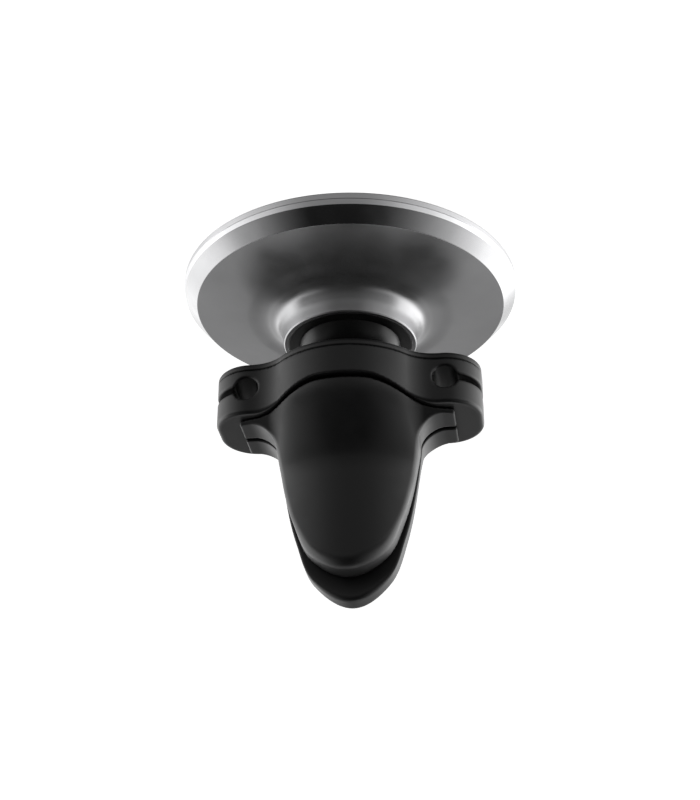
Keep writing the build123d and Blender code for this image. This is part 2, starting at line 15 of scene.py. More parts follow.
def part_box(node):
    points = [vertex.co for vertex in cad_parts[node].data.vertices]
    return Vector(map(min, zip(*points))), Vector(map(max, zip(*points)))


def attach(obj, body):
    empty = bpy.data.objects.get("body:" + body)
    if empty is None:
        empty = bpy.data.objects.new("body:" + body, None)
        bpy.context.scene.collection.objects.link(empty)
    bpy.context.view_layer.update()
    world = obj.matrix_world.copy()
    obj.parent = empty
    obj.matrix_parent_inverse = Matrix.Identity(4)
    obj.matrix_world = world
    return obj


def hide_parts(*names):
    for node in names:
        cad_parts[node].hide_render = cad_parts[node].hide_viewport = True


MM = 0.001
TURN_SEGMENTS = 240

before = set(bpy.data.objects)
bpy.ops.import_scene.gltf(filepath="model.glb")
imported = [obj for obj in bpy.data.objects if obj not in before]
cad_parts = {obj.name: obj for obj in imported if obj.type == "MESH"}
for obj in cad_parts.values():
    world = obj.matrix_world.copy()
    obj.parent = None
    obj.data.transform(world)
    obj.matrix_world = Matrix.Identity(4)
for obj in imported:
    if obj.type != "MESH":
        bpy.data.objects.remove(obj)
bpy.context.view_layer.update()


def box_mm(node):
    """A node's lowest and highest corners in millimetres."""
    low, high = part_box(node)
    return np.array(low) / MM, np.array(high) / MM


# ================================================================ sizes, read from the frame
RIM_R = box_mm("front_bezel")[1][0]
BEZEL_FRONT, BEZEL_BACK = box_mm("front_bezel")[0][1], box_mm("front_bezel")[1][1]
PAD_R, PAD_T = box_mm("contact_pad")[1][0], box_mm("contact_pad")[1][1]
HUB_TOP = box_mm("head_shell")[1][1]
COVER_FRONT, COVER_BACK = box_mm("collar_cover")[0][1], box_mm("collar_cover")[1][1]
COLLAR_BACK = box_mm("clip_collar")[1][1]
BARREL_R = box_mm("clip_collar")[1][2]
EAR_END = box_mm("clip_collar")[1][0]
SHOULDER_HALF = box_mm("upper_jaw")[1][0]
JAW_GAP = box_mm("upper_jaw")[0][2]
UPPER_TIP = box_mm("upper_jaw")[1][1]
ROOT_FRONT = box_mm("upper_jaw")[0][1]

# ---------------------------------------------------------------- head
PLATE_POCKET_R, PLATE_BACK = 19.5, 1.6
BEVEL_START = (20.84, 1.86)
BEVEL_END = (19.32, 3.56)
HUB_R = 8.3
THREAD_R = 7.75
SEAT_BORE_R, SEAT_BORE_TOP = 7.95, 6.05
CAVITY_HUB, CAVITY_WALL = (10.5, 4.0), (17.0, 2.95)  # the hollow's roof, by the hub and outside
PAD_GROOVES = (12.6, 15.2, 17.8)
GROOVE_WIDTH, GROOVE_DEPTH = 0.5, 0.3

# ---------------------------------------------------------------- ball joint
BALL_Y, BALL_R, BALL_FLAT = 6.04, 6.8, 2.0
NECK_R = 4.4
WEB_FRONT, WEB_BACK = 15.2, 15.8
LIP_R, LIP_START, SEAT_R = 6.85, 7.6, 7.25

# ---------------------------------------------------------------- collar
EAR_TOP, EAR_R = 5.7, 4.5  # half height of an ear, and radius of its corners
EAR_BLEND = 5.0  # concave radius between the barrel and an ear
WALL = 1.3
ARCH_TOP, ARCH_TOP_HALF, ARCH_FOOT_HALF = 18.1, 2.5, 11.0
CAVITY_HALF = 7.6
CABLE_HOLE_X, CABLE_HOLE_Y, CABLE_HOLE_R, CABLE_SLOT = 12.0, 16.9, 1.5, 0.8
COVER_SCREW_X, COVER_SCREW_R, COVER_SCREW_HEAD_R, COVER_SCREW_END = 9.0, 0.72, 1.4, 18.2
STUD_SCREW_R = 1.35
LUG_X, LUG_HALF, LUG_LOW, LUG_BACK = 4.2, 0.8, 5.6, 18.2
PIN_Y, PIN_Z, PIN_R = 17.2, 7.0, 0.82

# ---------------------------------------------------------------- jaws
SHOULDER_FRONT, SHOULDER_BACK, SHOULDER_FLAT = 20.5, 21.05, 1.2
TONGUE_START, TONGUE_HALF = 23.8, 8.6
TONGUE_SHAPE = ((1.0, 0.0), (0.945, 0.2), (0.755, 0.6), (0.53, 0.855), (0.0, 1.0))
JAW_HALF = 13.4
ROOT_CROWN, ROOT_DROP, ROOT_EDGE = 9.9, 4.2, 4.3
TONGUE_CROWN, TONGUE_DROP, TONGUE_EDGE = 5.1, 3.4, 0.7
CROWN_FALL, CROWN_FALL_Y = 0.9, 40.0
ROOT_Y, FLARE_LENGTH, FLARE_SOFT = 18.5, 9.0, 0.9
LIP_HALF, LIP_LOW, LIP_BACK = 5.2, 8.2, 19.15
GRIP_INSET, GRIP_START, GRIP_T = 1.9, 22.0, 0.7

COLLAR_STEP, COVER_STEP, JAW_STEP = 0.17, 0.13, 0.16  # grid spacing of the smooth solids


# ================================================================ materials
TONE_DRIFT, ROUGHNESS_DRIFT = 0.18, 0.05


def new_material(name):
    """An empty node material with a Principled shader, and a helper that adds nodes."""
    material = bpy.data.materials.new(name)
    material.use_nodes = True
    tree = material.node_tree
    shader = tree.nodes["Principled BSDF"]

    def node(kind, inputs=None, **settings):
        made = tree.nodes.new(kind)
        for key, value in settings.items():
            setattr(made, key, value)
        for key, value in (inputs or {}).items():
            if isinstance(value, bpy.types.NodeSocket):
                tree.links.new(value, made.inputs[key])
            else:
                made.inputs[key].default_value = value
        return made

    return material, tree, shader, node


def surface_finish(name, colour, metallic, roughness, grain_mm, grain_bump, specular=0.5):
    """A procedural finish: fine grain in the bump, and slow drift in tone and roughness."""
    material, tree, shader, node = new_material(name)
    place = node("ShaderNodeTexCoord").outputs["Object"]
    fine = 1 / (grain_mm * MM)
    grain = node("ShaderNodeTexNoise", {"Vector": place, "Scale": fine, "Detail": 3.0})
    drift = node("ShaderNodeTexNoise", {"Vector": place, "Scale": 90.0, "Detail": 4.0})
    smudge = node("ShaderNodeTexNoise", {"Vector": place, "Scale": 320.0, "Detail": 2.0})
    tone = node("ShaderNodeMix", {"Factor": drift.outputs["Fac"]}, data_type="RGBA")
    dark, light = 1 - TONE_DRIFT, 1 + TONE_DRIFT
    tone.inputs["A"].default_value = tuple(c * dark for c in colour) + (1.0,)
    tone.inputs["B"].default_value = tuple(min(c * light, 1.0) for c in colour) + (1.0,)
    tree.links.new(tone.outputs["Result"], shader.inputs["Base Color"])
    rough = node(
        "ShaderNodeMapRange",
        {
            "Value": smudge.outputs["Fac"],
            "From Min": 0.3,
            "From Max": 0.7,
            "To Min": roughness - ROUGHNESS_DRIFT,
            "To Max": roughness + ROUGHNESS_DRIFT,
        },
    )
    tree.links.new(rough.outputs["Result"], shader.inputs["Roughness"])
    shader.inputs["Metallic"].default_value = metallic
    bump = node(
        "ShaderNodeBump",
        {"Height": grain.outputs["Fac"], "Strength": 1.0, "Distance": grain_bump * MM},
    )
    tree.links.new(bump.outputs["Normal"], shader.inputs["Normal"])
    shader.inputs["Specular IOR Level"].default_value = specular
    return material


def satin_metal():
    """Bead-blasted and dark-anodised aluminium of the head's dish."""
    return surface_finish("satin gunmetal", (0.33, 0.33, 0.335), 0.88, 0.33, 0.10, 0.0008)


def cut_metal():
    """The bright diamond-cut bevel round the rim."""
    return surface_finish("cut bevel", (0.36, 0.36, 0.365), 1.0, 0.22, 0.06, 0.0006)


def bezel_metal():
    """The ring at the front of the rim, and the narrow band behind it."""
    return surface_finish("bezel", (0.66, 0.66, 0.67), 1.0, 0.33, 0.08, 0.001)


def silicone():
    """The phone pad's tacky silicone."""
    return surface_finish("pad silicone", (0.022, 0.022, 0.023), 0.0, 0.58, 0.16, 0.008)


def satin_plastic():
    """Fine-grained moulded plastic of the collar."""
    return surface_finish("collar plastic", (0.007, 0.007, 0.0072), 0.0, 0.36, 0.09, 0.0016)


def ring_plastic():
    """The retaining ring."""
    return surface_finish("ring plastic", (0.008, 0.008, 0.008), 0.0, 0.40, 0.10, 0.002)


def ball_coating():
    """Black coating on the ball and its neck."""
    black = (0.006, 0.006, 0.006)
    return surface_finish("ball coating", black, 0.0, 0.34, 0.05, 0.0008, specular=0.3)


def soft_rubber():
    """Smooth rubber moulded over the jaws."""
    return surface_finish("jaw rubber", (0.006, 0.006, 0.0062), 0.0, 0.40, 0.11, 0.002)


def grip_rubber():
    """Softer rubber of the ribbed grip pads."""
    return surface_finish("grip rubber", (0.020, 0.020, 0.020), 0.0, 0.65, 0.14, 0.006)


def inner_plastic():
    """Black structural plastic inside."""
    return surface_finish("inner plastic", (0.03, 0.03, 0.03), 0.0, 0.50, 0.12, 0.004)


def steel():
    """Plain ground steel."""
    return surface_finish("ground steel", (0.56, 0.56, 0.55), 1.0, 0.34, 0.05, 0.002)


def spring_steel():
    """Blackened steel of the jaws' springs and pins."""
    return surface_finish("blackened steel", (0.03, 0.03, 0.03), 1.0, 0.45, 0.05, 0.002)


def nickel():
    """Nickel plating on the magnets."""
    return surface_finish("nickel plate", (0.66, 0.65, 0.62), 1.0, 0.15, 0.08, 0.001)


def acetal():
    """White bearing plastic."""
    return surface_finish("acetal", (0.80, 0.80, 0.77), 0.0, 0.42, 0.12, 0.002)


def adhesive():
    """Pale film of adhesive."""
    return surface_finish("adhesive film", (0.70, 0.68, 0.60), 0.0, 0.55, 0.20, 0.003)


# ================================================================ mesh helpers
def piece(name, points_mm, faces, materials, body, node, indices=None):
    """Makes one shown piece, which rides on a body and replaces a CAD node."""
    mesh = bpy.data.meshes.new(name)
    mesh.from_pydata((np.asarray(points_mm) * MM).tolist(), [], [list(f) for f in faces])
    for material in materials:
        mesh.materials.append(material)
    if indices is not None:
        mesh.polygons.foreach_set("material_index", np.asarray(indices, dtype=np.int32))
    mesh.polygons.foreach_set("use_smooth", np.ones(len(mesh.polygons), dtype=bool))
    mesh.validate()
    mesh.update()
    made = bpy.data.objects.new(name, mesh)
    bpy.context.scene.collection.objects.link(made)
    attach(made, body)
    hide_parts(node)
    return made


def rounded(corners, radii, steps=5):
    """A closed profile with its corners rounded, each by its own radius (0 keeps it sharp)."""
    line = []
    count = len(corners)
    for i, radius in enumerate(radii):
        here = np.array(corners[i], float)
        before = np.array(corners[i - 1], float) - here
        after = np.array(corners[(i + 1) % count], float) - here
        reach = min(np.linalg.norm(before), np.linalg.norm(after))
        before /= np.linalg.norm(before)
        after /= np.linalg.norm(after)
        half = math.acos(max(-1.0, min(1.0, float(before @ after)))) / 2
        if radius == 0 or half > math.radians(88):
            line.append(here)
            continue
        cut = min(radius / math.tan(half), 0.45 * reach)
        start, end = here + before * cut, here + after * cut
        line.append(start + before * min(cut * 0.3, 0.03))
        for step in range(steps + 1):
            t = step / steps
            line.append((1 - t) ** 2 * start + 2 * t * (1 - t) * here + t**2 * end)
        line.append(end + after * min(cut * 0.3, 0.03))
    return np.array(line)


def turned(profile):
    """Points and quads of a closed profile of (radius, y) turned about the Y axis."""
    count = len(profile)
    angle = np.linspace(0, 2 * math.pi, TURN_SEGMENTS, endpoint=False)
    r, y = profile[:, 0], profile[:, 1]
    points = np.stack(
        [
            np.outer(np.sin(angle), r),
            np.tile(y, (TURN_SEGMENTS, 1)),
            np.outer(np.cos(angle), r),
        ],
        -1,
    ).reshape(-1, 3)
    i, j = np.meshgrid(np.arange(TURN_SEGMENTS), np.arange(count), indexing="ij")
    i2, j2 = (i + 1) % TURN_SEGMENTS, (j + 1) % count
    quads = np.stack([i * count + j, i * count + j2, i2 * count + j2, i2 * count + j], -1)
    return points, quads.reshape(-1, 4)


def turned_capped(profile):
    """As turned, for a profile that starts and ends on the axis: its ends are fans."""
    inner = profile[1:-1]
    count = len(inner)
    angle = np.linspace(0, 2 * math.pi, TURN_SEGMENTS, endpoint=False)
    points = np.stack(
        [
            np.outer(np.sin(angle), inner[:, 0]),
            np.tile(inner[:, 1], (TURN_SEGMENTS, 1)),
            np.outer(np.cos(angle), inner[:, 0]),
        ],
        -1,
    ).reshape(-1, 3)
    faces = []
    first, last = len(points), len(points) + 1
    points = np.vstack([points, (0, profile[0][1], 0), (0, profile[-1][1], 0)])
    for i in range(TURN_SEGMENTS):
        k = (i + 1) % TURN_SEGMENTS
        faces.append((first, i * count, k * count))
        for j in range(count - 1):
            faces.append((i * count + j, i * count + j + 1, k * count + j + 1, k * count + j))
        faces.append((i * count + count - 1, last, k * count + count - 1))
    return points, faces


def smooth_curve(points, start_tangent, end_tangent, steps=14):
    """A smooth curve through points, with set directions at its two ends."""
    p = np.array(points, float)
    length = np.linalg.norm(np.diff(p, axis=0), axis=1)
    slope = np.zeros_like(p)
    slope[0] = np.array(start_tangent) / np.linalg.norm(start_tangent)
    slope[-1] = np.array(end_tangent) / np.linalg.norm(end_tangent)
    for i in range(1, len(p) - 1):
        back, ahead = (p[i] - p[i - 1]) / length[i - 1], (p[i + 1] - p[i]) / length[i]
        slope[i] = (back * length[i] + ahead * length[i - 1]) / (length[i] + length[i - 1])
    line = [p[0]]
    for i in range(len(p) - 1):
        for step in range(1, steps + 1):
            t = step / steps
            line.append(
                (2 * t**3 - 3 * t**2 + 1) * p[i]
                + (t**3 - 2 * t**2 + t) * length[i] * slope[i]
                + (3 * t**2 - 2 * t**3) * p[i + 1]
                + (t**3 - t**2) * length[i] * slope[i + 1]
            )
    return np.array(line)


# ================================================================ smooth solids
# A solid is a function of points that is negative inside, in millimetres from its surface.
def both(a, b, radius):
    """Inside both solids, with the edge between them rounded."""
    away = np.hypot(np.maximum(a + radius, 0), np.maximum(b + radius, 0))
    return np.minimum(np.maximum(a, b), -radius) + away


def without(a, b, radius):
    """The first solid with the second cut out of it, and the cut's rim rounded."""
    return both(a, -b, radius)


def gradient(solid, points, reach=0.02):
    """Unit direction away from the solid at each point."""
    slopes = [
        solid(points + step) - solid(points - step) for step in np.eye(3) * reach
    ]
    slope = np.stack(slopes, -1)
    return slope / np.maximum(np.linalg.norm(slope, axis=1), 1e-9)[:, None]


def skin(solid, low, high, step):
    """Quads over a solid's surface: one point in each grid cell that the surface crosses."""
    axes = [np.arange(a - 2 * step, b + 3 * step, step) for a, b in zip(low, high)]
    sizes = [len(axis) for axis in axes]
    grid = np.stack(np.meshgrid(*axes, indexing="ij"), -1).reshape(-1, 3)
    value = np.concatenate([solid(part) for part in np.array_split(grid, 24)]).reshape(sizes)
    cells = [n - 1 for n in sizes]

    def corner(offset):
        return value[tuple(slice(o, o + n) for o, n in zip(offset, cells))]

    inside = sum((corner(offset) < 0).astype(int) for offset in np.ndindex(2, 2, 2))
    mixed = (inside > 0) & (inside < 8)
    total, hits = np.zeros(cells + [3]), np.zeros(cells)
    for axis in range(3):
        for offset in np.ndindex(2, 2, 2):
            if offset[axis]:
                continue
            far = list(offset)
            far[axis] = 1
            a, b = corner(offset), corner(far)
            crossed = (a < 0) != (b < 0)
            share = np.where(crossed, a / np.where(crossed, a - b, 1), 0)
            for other in range(3):
                total[..., other] += (share if other == axis else offset[other]) * crossed
            hits += crossed
    index = np.full(cells, -1)
    index[mixed] = np.arange(mixed.sum())
    points = np.argwhere(mixed) + total[mixed] / hits[mixed][:, None]
    points = points * step + [axis[0] for axis in axes]
    quads = []
    for axis in range(3):
        one, two = (axis + 1) % 3, (axis + 2) % 3
        near = [slice(1, n - 1) for n in sizes]
        far = list(near)
        near[axis], far[axis] = slice(0, sizes[axis] - 1), slice(1, sizes[axis])
        a, b = value[tuple(near)] < 0, value[tuple(far)] < 0
        edges = np.argwhere(a != b)
        base = edges.copy()
        base[:, one] += 1
        base[:, two] += 1
        around = []
        for back_one, back_two in ((1, 1), (0, 1), (0, 0), (1, 0)):
            cell = base.copy()
            cell[:, one] -= back_one
            cell[:, two] -= back_two
            around.append(index[tuple(cell.T)])
        around = np.stack(around, 1)
        turn = ~a[tuple(edges.T)]
        around[turn] = around[turn][:, ::-1]
        quads.append(around)
    quads = np.concatenate(quads)
    for relax in (0.5, 0.5, 0.0):
        if relax:
            middle, share = np.zeros_like(points), np.zeros(len(points))
            centre = points[quads].mean(axis=1)
            for side in range(4):
                np.add.at(middle, quads[:, side], centre)
                np.add.at(share, quads[:, side], 1)
            points = points + relax * (middle / share[:, None] - points)
        for _ in range(3):
            pull = np.clip(solid(points), -step / 2, step / 2)
            points = points - pull[:, None] * gradient(solid, points)
    return points, quads


def lens(x, z):
    """The collar's outline: a barrel blended into a lower rounded ear on each side."""
    x, z = np.abs(x), np.abs(z)
    cz = EAR_TOP + EAR_BLEND
    cx = math.sqrt((BARREL_R + EAR_BLEND) ** 2 - cz**2)
    barrel = np.hypot(x, z) - BARREL_R
    over, up = x - EAR_END + EAR_R, z - EAR_TOP + EAR_R
    ear = np.hypot(np.maximum(over, 0), np.maximum(up, 0)) - EAR_R
    ear = ear + np.minimum(np.maximum(over, up), 0)
    blend = EAR_BLEND - np.hypot(x - cx, z - cz)
    return np.where(cx * z > cz * x, barrel, np.where(x > cx, ear, blend))


def ease(t):
    """Smooth step from 0 to 1."""
    t = np.clip(t, 0, 1)
    return t * t * (3 - 2 * t)


def arch(x):
    """Y of the collar's back edge, which is cut in an arch over the jaws' roots."""
    rise = ease((np.abs(x) - ARCH_TOP_HALF) / (ARCH_FOOT_HALF - ARCH_TOP_HALF))
    return ARCH_TOP + (COLLAR_BACK - ARCH_TOP) * rise


def collar_solid(p):
    """The collar: lens-shaped, arched at the back, with its holes, slots, bores and lugs."""
    x, y, z = p[:, 0], p[:, 1], p[:, 2]
    ax, az = np.abs(x), np.abs(z)
    slope = (arch(x + 0.05) - arch(x - 0.05)) / 0.1
    back = (y - arch(x)) / np.sqrt(1 + slope**2)
    body = both(lens(x, z), COVER_BACK - y, 0.02)
    body = both(body, back, 0.12 + 0.40 * ease((ax - 7.0) / 4.0))
    cavity = np.maximum(np.maximum(lens(x, z) + WALL, ax - CAVITY_HALF), WEB_BACK - y)
    body = without(body, cavity, 0.08)
    lug = np.maximum(np.abs(ax - LUG_X) - LUG_HALF, LUG_LOW - az)
    lug = np.maximum(np.maximum(lug, y - LUG_BACK), WEB_FRONT - y)
    lug = np.maximum(lug, lens(x, z) + WALL / 2)
    body = np.minimum(body, lug)
    pin = np.maximum(np.hypot(y - PIN_Y, az - PIN_Z) - PIN_R, ax - LUG_X - LUG_HALF - 0.1)
    body = without(body, pin, 0.03)
    bore = np.maximum(np.hypot(x, z) - NECK_R - 0.05, y - WEB_FRONT)
    bore = np.minimum(bore, np.maximum(np.hypot(x, z) - STUD_SCREW_R, y - WEB_BACK - 1))
    screw = np.maximum(np.hypot(ax - COVER_SCREW_X, z) - COVER_SCREW_R, y - COVER_SCREW_END)
    body = without(body, np.minimum(bore, screw), 0.03)
    hole = np.hypot(ax - CABLE_HOLE_X, y - CABLE_HOLE_Y) - CABLE_HOLE_R
    slot = np.maximum(np.abs(y - CABLE_HOLE_Y) - CABLE_SLOT / 2, CABLE_HOLE_X - ax)
    return without(body, np.minimum(hole, slot), 0.22)


def cover_solid(p):
    """The collar's front cover, with the neck's hole and two counterbored screw holes."""
    x, y, z = p[:, 0], p[:, 1], p[:, 2]
    ax = np.abs(x)
    body = both(lens(x, z), COVER_FRONT - y, 0.45)
    body = both(body, y - COVER_BACK, 0.02)
    body = without(body, np.hypot(x, z) - NECK_R - 0.1, 0.12)
    screw = np.hypot(ax - COVER_SCREW_X, z) - COVER_SCREW_R - 0.08
    head = np.hypot(ax - COVER_SCREW_X, z) - COVER_SCREW_HEAD_R
    head = np.maximum(head, y - COVER_FRONT - 0.5)
    return without(body, np.minimum(screw, head), 0.06)


def jaw_outline(tip):
    """A jaw's plan as a closed line, from the middle of its root round to the tip and back."""
    length = tip - TONGUE_START
    shoulder = SHOULDER_HALF - SHOULDER_FLAT
    x = np.linspace(ARCH_TOP_HALF, ARCH_FOOT_HALF, 20)
    rise = ease((x - ARCH_TOP_HALF) / (ARCH_FOOT_HALF - ARCH_TOP_HALF))
    root = np.stack([x, ROOT_FRONT + (SHOULDER_FRONT - ROOT_FRONT) * rise], 1)
    corners = np.array([(SHOULDER_HALF, SHOULDER_FRONT), (SHOULDER_HALF, SHOULDER_BACK)])
    waist = smooth_curve(
        ((shoulder, SHOULDER_BACK), (TONGUE_HALF, TONGUE_START)), (-1, 0), (-0.06, 1)
    )
    side = smooth_curve(
        [(TONGUE_HALF * wide, TONGUE_START + length * far) for wide, far in TONGUE_SHAPE],
        (-0.06, 1),
        (-1, 0),
    )
    half = np.concatenate([root, corners, waist, side[1:]])
    return np.concatenate([half, (half * (-1, 1))[::-1][1:]])


def outline_distance(line, spacing=0.1):
    """A function of x and y that gives the distance from a closed line, negative inside it."""
    low, high = line.min(0) - 2, line.max(0) + 2
    xs, ys = np.arange(low[0], high[0], spacing), np.arange(low[1], high[1], spacing)
    q = np.stack(np.meshgrid(xs, ys, indexing="ij"), -1).reshape(-1, 2)
    nearest = np.full(len(q), 1e9)
    crossings = np.zeros(len(q), int)
    for a, b in zip(line, np.roll(line, -1, axis=0)):
        along = b - a
        if along @ along < 1e-12:
            continue
        t = np.clip((q - a) @ along / (along @ along), 0, 1)
        nearest = np.minimum(nearest, np.linalg.norm(q - a - t[:, None] * along, axis=1))
        spans = (a[1] > q[:, 1]) != (b[1] > q[:, 1])
        if a[1] != b[1]:
            crossings += spans & (q[:, 0] < a[0] + (q[:, 1] - a[1]) * along[0] / along[1])
    table = np.where(crossings % 2 == 1, -nearest, nearest).reshape(len(xs), len(ys))

    def distance(x, y):
        u = np.clip((x - low[0]) / spacing, 0, len(xs) - 1.001)
        v = np.clip((y - low[1]) / spacing, 0, len(ys) - 1.001)
        i, j = u.astype(int), v.astype(int)
        u, v = u - i, v - j
        near = table[i, j] * (1 - v) + table[i, j + 1] * v
        far = table[i + 1, j] * (1 - v) + table[i + 1, j + 1] * v
        return near * (1 - u) + far * u

    return distance


def flare(y):
    """How much of the root's extra height a jaw still has at y, from 1 down to 0."""
    return 0.5 + 0.5 * np.cos(math.pi * np.clip((y - ROOT_Y) / FLARE_LENGTH, 0, 1))


def jaw_top(x, y):
    """Height of a jaw's outer face: an arc across it, flaring up and out at the root."""
    soften = FLARE_SOFT * ease((y - ROOT_Y - 2.0) / 3.0)
    rise = (flare(y - soften) + flare(y + soften)) / 2
    crown = TONGUE_CROWN + rise * (ROOT_CROWN - TONGUE_CROWN)
    crown = crown - CROWN_FALL * ((y - ROOT_Y) / (CROWN_FALL_Y - ROOT_Y)) ** 2
    drop = TONGUE_DROP + rise * (ROOT_DROP - TONGUE_DROP)
    radius = (TONGUE_HALF**2 + drop**2) / (2 * drop)
    arc = crown - radius + np.sqrt(np.maximum(radius**2 - x**2, 0.01))
    edge = TONGUE_EDGE + rise * (ROOT_EDGE - TONGUE_EDGE)
    out = (np.abs(x) - TONGUE_HALF) / (JAW_HALF - TONGUE_HALF)
    wing = crown - drop + out * (edge - crown + drop)
    soft = 1.1 * rise + 0.01
    overlap = np.maximum(soft - np.abs(arc - wing), 0) / soft
    return np.where(np.abs(x) < TONGUE_HALF, arc, wing) + overlap**2 * soft / 4


def jaw_solid(tip, lead_in):
    """The solid of the upper jaw whose tip is at the given Y. Its inner edge is rounded there."""
    distance = outline_distance(jaw_outline(tip))
    pad_distance = outline_distance(jaw_outline(UPPER_TIP))

    def solid(p):
        x, y, z = p[:, 0], p[:, 1], p[:, 2]
        height = jaw_top(x, y)
        slope_x = (jaw_top(x + 0.05, y) - jaw_top(x - 0.05, y)) / 0.1
        slope_y = (jaw_top(x, y + 0.05) - jaw_top(x, y - 0.05)) / 0.1
        top = (z - height) / np.sqrt(1 + slope_x**2 + slope_y**2)
        plan = distance(x, y)
        edge = 0.10 + 0.40 * ease((y - 21.0) / 4.0) + 0.75 * ease((y - tip + 7.0) / 6.0)
        body = both(plan, top, edge)
        body = both(body, JAW_GAP - z, 0.12 + lead_in * ease((y - tip + 5.0) / 4.0))
        room = np.maximum(np.maximum(np.abs(x) - LIP_HALF, z - LIP_LOW), y - LIP_BACK)
        body = without(body, room, 0.03)
        pad = np.maximum(pad_distance(x, y) + GRIP_INSET - 0.02, GRIP_START - y)
        pad = np.maximum(pad, z - JAW_GAP - GRIP_T)
        return without(body, pad, 0.05)

    return solid


# ================================================================ the head
def head_shell():
    """The head's metal back: bevelled rim, dish, trumpet hub, and the hollow inside."""
    dish = smooth_curve(
        (BEVEL_END, (13.2, 4.6), (10.2, 5.13), (9.2, 5.68), (8.6, 6.8), (HUB_R, HUB_TOP - 0.15)),
        (-1.0, 0.16),
        (-0.12, 1.0),
        steps=16,
    )
    rim = [(PLATE_POCKET_R, BEZEL_BACK), (RIM_R, BEZEL_BACK), BEVEL_START]
    inside = [
        (HUB_R - 0.12, HUB_TOP),
        (THREAD_R, HUB_TOP),
        (THREAD_R, SEAT_BORE_TOP),
        (SEAT_BORE_R, SEAT_BORE_TOP),
        (SEAT_BORE_R, CAVITY_HUB[1]),
        CAVITY_HUB,
        CAVITY_WALL,
        (CAVITY_WALL[0], PLATE_BACK),
        (PLATE_POCKET_R, PLATE_BACK),
    ]
    corners = rim + [tuple(q) for q in dish] + inside
    radii = [0.05, 0.08, 0.10, 0.14] + [0] * (len(dish) - 2) + [0.08, 0.08, 0.06] + [0.05] * 7
    profile = rounded(corners, radii, steps=6)
    points, quads = turned(profile[::-1])
    centre = points[quads].mean(axis=1)
    radius = np.hypot(centre[:, 0], centre[:, 2])
    cut = (radius > BEVEL_END[0] - 0.05) & (centre[:, 1] > BEVEL_START[1] - 0.05)
    band = (radius > BEVEL_START[0] - 0.05) & ~cut
    return piece(
        "head_back",
        points,
        quads,
        [satin_metal(), cut_metal(), bezel_metal()],
        "head",
        "head_shell",
        indices=cut + 2 * band,
    )


def front_bezel():
    """The ring that frames the pad."""
    inner = PAD_R + 0.1
    corners = (
        (inner, BEZEL_FRONT),
        (RIM_R, BEZEL_FRONT),
        (RIM_R, BEZEL_BACK),
        (inner, BEZEL_BACK),
    )
    points, quads = turned(rounded(corners, (0.08, 0.16, 0.07, 0.05))[::-1])
    return piece(
        "front_ring", points, quads, [bezel_metal()], "head", "front_bezel"
    )


def contact_pad():
    """The phone pad, with its concentric grooves."""
    corners, radii = [(0.0, 0.0)], [0]
    for groove in PAD_GROOVES:
        near, far = groove - GROOVE_WIDTH / 2, groove + GROOVE_WIDTH / 2
        corners += [(near, 0), (near, GROOVE_DEPTH), (far, GROOVE_DEPTH), (far, 0)]
        radii += [0.1, 0.1, 0.1, 0.1]
    corners += [(PAD_R, 0.0), (PAD_R, PAD_T), (0.0, PAD_T)]
    radii += [0.3, 0.08, 0]
    profile = rounded(corners, radii)
    steps = np.linspace(0, 1, 12)[1:-1, None]
    first, last = profile[0], profile[-1]
    profile = np.vstack(
        [
            first,
            first + steps * (profile[1] - first),
            profile[1:-1],
            profile[-2] + steps * (last - profile[-2]),
            last,
        ]
    )
    points, faces = turned_capped(profile[::-1])
    return piece("phone_pad", points, faces, [silicone()], "head", "contact_pad")


def retaining_ring():
    """The ring nut that closes the hub over the ball."""
    first = math.asin((LIP_START - BALL_Y) / LIP_R)
    last = math.asin((HUB_TOP - BALL_Y) / LIP_R)
    angles = np.linspace(first, last, 12)
    lip = [(LIP_R * math.cos(a), BALL_Y + LIP_R * math.sin(a)) for a in angles]
    outer = THREAD_R - 0.02
    corners = [
        (outer, SEAT_BORE_TOP),
        (outer, HUB_TOP),
        *lip[::-1],
        (SEAT_R, LIP_START),
        (SEAT_R, SEAT_BORE_TOP),
    ]
    radii = [0.05, 0.16, 0.12] + [0] * (len(lip) - 2) + [0.05, 0.05, 0.05]
    points, quads = turned(rounded(corners, radii))
    return piece(
        "hub_ring", points, quads, [ring_plastic()], "head", "retaining_ring"
    )


def ball_stud():
    """The ball, cut flat in front, and its neck down to the foot."""
    front = BALL_Y - BALL_FLAT
    first = math.asin(-BALL_FLAT / BALL_R)
    last = math.acos((NECK_R + 0.5) / BALL_R)
    angles = np.linspace(first, last, 40)
    ball = [(BALL_R * math.cos(a), BALL_Y + BALL_R * math.sin(a)) for a in angles]
    neck_y = BALL_Y + math.sqrt(BALL_R**2 - NECK_R**2)
    corners = [(0.0, front), *ball, (NECK_R, neck_y + 0.25), (NECK_R, WEB_FRONT), (0.0, WEB_FRONT)]
    radii = [0, 0.15] + [0] * (len(ball) - 1) + [0.6, 0.1, 0]
    profile = rounded(corners, radii, steps=8)
    points, faces = turned_capped(profile)
    return piece(
        "ball_and_neck", points, faces, [ball_coating()], "clip", "ball_stud"
    )


# ================================================================ the clip
def collar():
    """The lens-shaped body with its ears."""
    low, high = box_mm("clip_collar")
    points, quads = skin(collar_solid, low, high, COLLAR_STEP)
    return piece(
        "collar_body", points, quads, [satin_plastic()], "clip", "clip_collar"
    )


def cover():
    """The collar's front cover."""
    low, high = box_mm("collar_cover")
    points, quads = skin(cover_solid, low, high, COVER_STEP)
    return piece(
        "collar_front", points, quads, [satin_plastic()], "clip", "collar_cover"
    )


